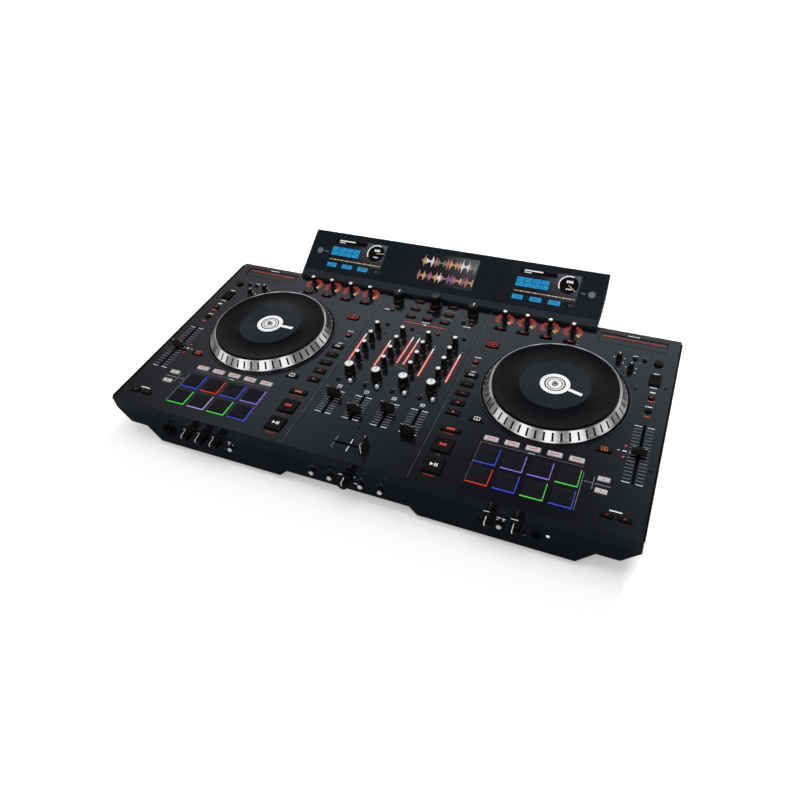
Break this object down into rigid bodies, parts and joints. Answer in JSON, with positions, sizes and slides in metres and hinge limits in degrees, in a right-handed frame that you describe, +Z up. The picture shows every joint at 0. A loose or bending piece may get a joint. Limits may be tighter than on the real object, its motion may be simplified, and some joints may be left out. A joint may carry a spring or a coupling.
{
  "type": "dj controller",
  "caption": "Tabletop controller with two motor-driven record platters, a mixer with knobs and faders between them, pads, keys, and a tilted display behind.",
  "frame": {"origin": "under the middle of the whole object, on the surface that its feet stand on", "axes": "+Z up, +X to the player's right, +Y away from the player, from the fascia towards the display"},
  "size_m": [0.7642, 0.4624, 0.1277],
  "materials": {
    "dark_shell": "fine grained moulded plastic",
    "charcoal_plate": "matte charcoal paint",
    "screen": "lit screens behind a smooth cover",
    "motor_steel": "plain turned steel",
    "board_green": "circuit board",
    "ring_silver": "satin machined",
    "record_vinyl": "glossy with fine grooves",
    "pad_rubber": "translucent, lit from below",
    "key_dark": "moulded keys, some lit",
    "control_black": "smooth black caps"
  },
  "bodies": {
    "casing": {"base_tray": "dark_shell", "left_deck_plate": "charcoal_plate", "mixer_plate": "charcoal_plate", "right_deck_plate": "charcoal_plate", "display_housing": "dark_shell", "display_panel": "charcoal_plate", "display_board": "screen", "rear_panel": "dark_shell", "front_fascia": "dark_shell", "left_platter_motor": "motor_steel", "right_platter_motor": "motor_steel", "main_board": "board_green"},
    "left_platter": {"left_platter": "ring_silver", "left_record": "record_vinyl"},
    "left_pads": {"left_pads": "pad_rubber"},
    "left_deck_keys": {"left_deck_keys": "key_dark"},
    "left_pitch_fader": {"left_pitch_fader_cap": "control_black"},
    "left_effect_knob_1": {"left_effect_knob_1": "control_black"},
    "left_effect_knob_2": {"left_effect_knob_2": "control_black"},
    "left_effect_knob_3": {"left_effect_knob_3": "control_black"},
    "left_effect_knob_4": {"left_effect_knob_4": "control_black"},
    "right_platter": {"right_platter": "ring_silver", "right_record": "record_vinyl"},
    "right_pads": {"right_pads": "pad_rubber"},
    "right_deck_keys": {"right_deck_keys": "key_dark"},
    "right_pitch_fader": {"right_pitch_fader_cap": "control_black"},
    "right_effect_knob_1": {"right_effect_knob_1": "control_black"},
    "right_effect_knob_2": {"right_effect_knob_2": "control_black"},
    "right_effect_knob_3": {"right_effect_knob_3": "control_black"},
    "right_effect_knob_4": {"right_effect_knob_4": "control_black"},
    "mixer_keys": {"mixer_keys": "key_dark"},
    "channel_1_filter_knob": {"channel_1_filter_knob": "control_black"},
    "channel_1_bass_knob": {"channel_1_bass_knob": "control_black"},
    "channel_1_middle_knob": {"channel_1_middle_knob": "control_black"},
    "channel_1_treble_knob": {"channel_1_treble_knob": "control_black"},
    "channel_1_gain_knob": {"channel_1_gain_knob": "control_black"},
    "channel_1_fader": {"channel_1_fader_cap": "control_black"},
    "channel_2_filter_knob": {"channel_2_filter_knob": "control_black"},
    "channel_2_bass_knob": {"channel_2_bass_knob": "control_black"},
    "channel_2_middle_knob": {"channel_2_middle_knob": "control_black"},
    "channel_2_treble_knob": {"channel_2_treble_knob": "control_black"},
    "channel_2_gain_knob": {"channel_2_gain_knob": "control_black"},
    "channel_2_fader": {"channel_2_fader_cap": "control_black"},
    "channel_3_filter_knob": {"channel_3_filter_knob": "control_black"},
    "channel_3_bass_knob": {"channel_3_bass_knob": "control_black"},
    "channel_3_middle_knob": {"channel_3_middle_knob": "control_black"},
    "channel_3_treble_knob": {"channel_3_treble_knob": "control_black"},
    "channel_3_gain_knob": {"channel_3_gain_knob": "control_black"},
    "channel_3_fader": {"channel_3_fader_cap": "control_black"},
    "channel_4_filter_knob": {"channel_4_filter_knob": "control_black"},
    "channel_4_bass_knob": {"channel_4_bass_knob": "control_black"},
    "channel_4_middle_knob": {"channel_4_middle_knob": "control_black"},
    "channel_4_treble_knob": {"channel_4_treble_knob": "control_black"},
    "channel_4_gain_knob": {"channel_4_gain_knob": "control_black"},
    "channel_4_fader": {"channel_4_fader_cap": "control_black"},
    "left_level_knob": {"left_level_knob": "control_black"},
    "browse_knob": {"browse_knob": "control_black"},
    "right_level_knob": {"right_level_knob": "control_black"},
    "crossfader": {"crossfader_cap": "control_black"},
    "contour_knob": {"contour_knob": "control_black"}
  },
  "joints": [
    {"name": "left_platter_spin", "type": "hinge", "parent": "casing", "child": "left_platter", "pos_m": [-0.2283, -0.004, 0.076], "axis": [0, 0, 1], "continuous": true},
    {"name": "left_pads_press", "type": "slide", "parent": "casing", "child": "left_pads", "axis": [0, 0, 1], "range_m": [-0.001, 0], "stiffness_N_per_m": 4000},
    {"name": "left_deck_keys_press", "type": "slide", "parent": "casing", "child": "left_deck_keys", "axis": [0, 0, 1], "range_m": [-0.001, 0], "stiffness_N_per_m": 4000},
    {"name": "left_pitch_slide", "type": "slide", "parent": "casing", "child": "left_pitch_fader", "axis": [0, 1, 0], "range_m": [-0.04945, 0.04945]},
    {"name": "left_effect_knob_1_turn", "type": "hinge", "parent": "casing", "child": "left_effect_knob_1", "pos_m": [-0.11665, 0.1363, 0.076], "axis": [0, 0, 1], "range_deg": [-150, 150]},
    {"name": "left_effect_knob_2_turn", "type": "hinge", "parent": "casing", "child": "left_effect_knob_2", "pos_m": [-0.15245, 0.1363, 0.076], "axis": [0, 0, 1], "range_deg": [-150, 150]},
    {"name": "left_effect_knob_3_turn", "type": "hinge", "parent": "casing", "child": "left_effect_knob_3", "pos_m": [-0.18825, 0.1363, 0.076], "axis": [0, 0, 1], "range_deg": [-150, 150]},
    {"name": "left_effect_knob_4_turn", "type": "hinge", "parent": "casing", "child": "left_effect_knob_4", "pos_m": [-0.22405, 0.1363, 0.076], "axis": [0, 0, 1], "range_deg": [-150, 150]},
    {"name": "right_platter_spin", "type": "hinge", "parent": "casing", "child": "right_platter", "pos_m": [0.2283, -0.004, 0.076], "axis": [0, 0, 1], "continuous": true},
    {"name": "right_pads_press", "type": "slide", "parent": "casing", "child": "right_pads", "axis": [0, 0, 1], "range_m": [-0.001, 0], "stiffness_N_per_m": 4000},
    {"name": "right_deck_keys_press", "type": "slide", "parent": "casing", "child": "right_deck_keys", "axis": [0, 0, 1], "range_m": [-0.001, 0], "stiffness_N_per_m": 4000},
    {"name": "right_pitch_slide", "type": "slide", "parent": "casing", "child": "right_pitch_fader", "axis": [0, 1, 0], "range_m": [-0.04945, 0.04945]},
    {"name": "right_effect_knob_1_turn", "type": "hinge", "parent": "casing", "child": "right_effect_knob_1", "pos_m": [0.11665, 0.1363, 0.076], "axis": [0, 0, 1], "range_deg": [-150, 150]},
    {"name": "right_effect_knob_2_turn", "type": "hinge", "parent": "casing", "child": "right_effect_knob_2", "pos_m": [0.15245, 0.1363, 0.076], "axis": [0, 0, 1], "range_deg": [-150, 150]},
    {"name": "right_effect_knob_3_turn", "type": "hinge", "parent": "casing", "child": "right_effect_knob_3", "pos_m": [0.18825, 0.1363, 0.076], "axis": [0, 0, 1], "range_deg": [-150, 150]},
    {"name": "right_effect_knob_4_turn", "type": "hinge", "parent": "casing", "child": "right_effect_knob_4", "pos_m": [0.22405, 0.1363, 0.076], "axis": [0, 0, 1], "range_deg": [-150, 150]},
    {"name": "mixer_keys_press", "type": "slide", "parent": "casing", "child": "mixer_keys", "axis": [0, 0, 1], "range_m": [-0.001, 0], "stiffness_N_per_m": 4000},
    {"name": "channel_1_filter_knob_turn", "type": "hinge", "parent": "casing", "child": "channel_1_filter_knob", "pos_m": [-0.06435, -0.0534, 0.076], "axis": [0, 0, 1], "range_deg": [-150, 150]},
    {"name": "channel_1_bass_knob_turn", "type": "hinge", "parent": "casing", "child": "channel_1_bass_knob", "pos_m": [-0.06435, -0.0244, 0.076], "axis": [0, 0, 1], "range_deg": [-150, 150]},
    {"name": "channel_1_middle_knob_turn", "type": "hinge", "parent": "casing", "child": "channel_1_middle_knob", "pos_m": [-0.06435, 0.0002, 0.076], "axis": [0, 0, 1], "range_deg": [-150, 150]},
    {"name": "channel_1_treble_knob_turn", "type": "hinge", "parent": "casing", "child": "channel_1_treble_knob", "pos_m": [-0.06435, 0.0248, 0.076], "axis": [0, 0, 1], "range_deg": [-150, 150]},
    {"name": "channel_1_gain_knob_turn", "type": "hinge", "parent": "casing", "child": "channel_1_gain_knob", "pos_m": [-0.06435, 0.0494, 0.076], "axis": [0, 0, 1], "range_deg": [-150, 150]},
    {"name": "channel_1_fader_slide", "type": "slide", "parent": "casing", "child": "channel_1_fader", "axis": [0, 1, 0], "range_m": [-0.03634, 0.01086]},
    {"name": "channel_2_filter_knob_turn", "type": "hinge", "parent": "casing", "child": "channel_2_filter_knob", "pos_m": [-0.02145, -0.0534, 0.076], "axis": [0, 0, 1], "range_deg": [-150, 150]},
    {"name": "channel_2_bass_knob_turn", "type": "hinge", "parent": "casing", "child": "channel_2_bass_knob", "pos_m": [-0.02145, -0.0244, 0.076], "axis": [0, 0, 1], "range_deg": [-150, 150]},
    {"name": "channel_2_middle_knob_turn", "type": "hinge", "parent": "casing", "child": "channel_2_middle_knob", "pos_m": [-0.02145, 0.0002, 0.076], "axis": [0, 0, 1], "range_deg": [-150, 150]},
    {"name": "channel_2_treble_knob_turn", "type": "hinge", "parent": "casing", "child": "channel_2_treble_knob", "pos_m": [-0.02145, 0.0248, 0.076], "axis": [0, 0, 1], "range_deg": [-150, 150]},
    {"name": "channel_2_gain_knob_turn", "type": "hinge", "parent": "casing", "child": "channel_2_gain_knob", "pos_m": [-0.02145, 0.0494, 0.076], "axis": [0, 0, 1], "range_deg": [-150, 150]},
    {"name": "channel_2_fader_slide", "type": "slide", "parent": "casing", "child": "channel_2_fader", "axis": [0, 1, 0], "range_m": [-0.01416, 0.03304]},
    {"name": "channel_3_filter_knob_turn", "type": "hinge", "parent": "casing", "child": "channel_3_filter_knob", "pos_m": [0.02145, -0.0534, 0.076], "axis": [0, 0, 1], "range_deg": [-150, 150]},
    {"name": "channel_3_bass_knob_turn", "type": "hinge", "parent": "casing", "child": "channel_3_bass_knob", "pos_m": [0.02145, -0.0244, 0.076], "axis": [0, 0, 1], "range_deg": [-150, 150]},
    {"name": "channel_3_middle_knob_turn", "type": "hinge", "parent": "casing", "child": "channel_3_middle_knob", "pos_m": [0.02145, 0.0002, 0.076], "axis": [0, 0, 1], "range_deg": [-150, 150]},
    {"name": "channel_3_treble_knob_turn", "type": "hinge", "parent": "casing", "child": "channel_3_treble_knob", "pos_m": [0.02145, 0.0248, 0.076], "axis": [0, 0, 1], "range_deg": [-150, 150]},
    {"name": "channel_3_gain_knob_turn", "type": "hinge", "parent": "casing", "child": "channel_3_gain_knob", "pos_m": [0.02145, 0.0494, 0.076], "axis": [0, 0, 1], "range_deg": [-150, 150]},
    {"name": "channel_3_fader_slide", "type": "slide", "parent": "casing", "child": "channel_3_fader", "axis": [0, 1, 0], "range_m": [-0.0321, 0.0151]},
    {"name": "channel_4_filter_knob_turn", "type": "hinge", "parent": "casing", "child": "channel_4_filter_knob", "pos_m": [0.06435, -0.0534, 0.076], "axis": [0, 0, 1], "range_deg": [-150, 150]},
    {"name": "channel_4_bass_knob_turn", "type": "hinge", "parent": "casing", "child": "channel_4_bass_knob", "pos_m": [0.06435, -0.0244, 0.076], "axis": [0, 0, 1], "range_deg": [-150, 150]},
    {"name": "channel_4_middle_knob_turn", "type": "hinge", "parent": "casing", "child": "channel_4_middle_knob", "pos_m": [0.06435, 0.0002, 0.076], "axis": [0, 0, 1], "range_deg": [-150, 150]},
    {"name": "channel_4_treble_knob_turn", "type": "hinge", "parent": "casing", "child": "channel_4_treble_knob", "pos_m": [0.06435, 0.0248, 0.076], "axis": [0, 0, 1], "range_deg": [-150, 150]},
    {"name": "channel_4_gain_knob_turn", "type": "hinge", "parent": "casing", "child": "channel_4_gain_knob", "pos_m": [0.06435, 0.0494, 0.076], "axis": [0, 0, 1], "range_deg": [-150, 150]},
    {"name": "channel_4_fader_slide", "type": "slide", "parent": "casing", "child": "channel_4_fader", "axis": [0, 1, 0], "range_m": [0, 0.0472]},
    {"name": "left_level_knob_turn", "type": "hinge", "parent": "casing", "child": "left_level_knob", "pos_m": [-0.0645, 0.1352, 0.076], "axis": [0, 0, 1], "range_deg": [-150, 150]},
    {"name": "browse_knob_turn", "type": "hinge", "parent": "casing", "child": "browse_knob", "pos_m": [0, 0.1387, 0.076], "axis": [0, 0, 1], "continuous": true},
    {"name": "right_level_knob_turn", "type": "hinge", "parent": "casing", "child": "right_level_knob", "pos_m": [0.0645, 0.1352, 0.076], "axis": [0, 0, 1], "range_deg": [-150, 150]},
    {"name": "crossfader_slide", "type": "slide", "parent": "casing", "child": "crossfader", "axis": [1, 0, 0], "range_m": [-0.0402, 0]},
    {"name": "contour_knob_turn", "type": "hinge", "parent": "casing", "child": "contour_knob", "pos_m": [0.0038, -0.21587, 0.0415], "axis": [0, -1, 0], "range_deg": [-150, 150]}
  ]
}
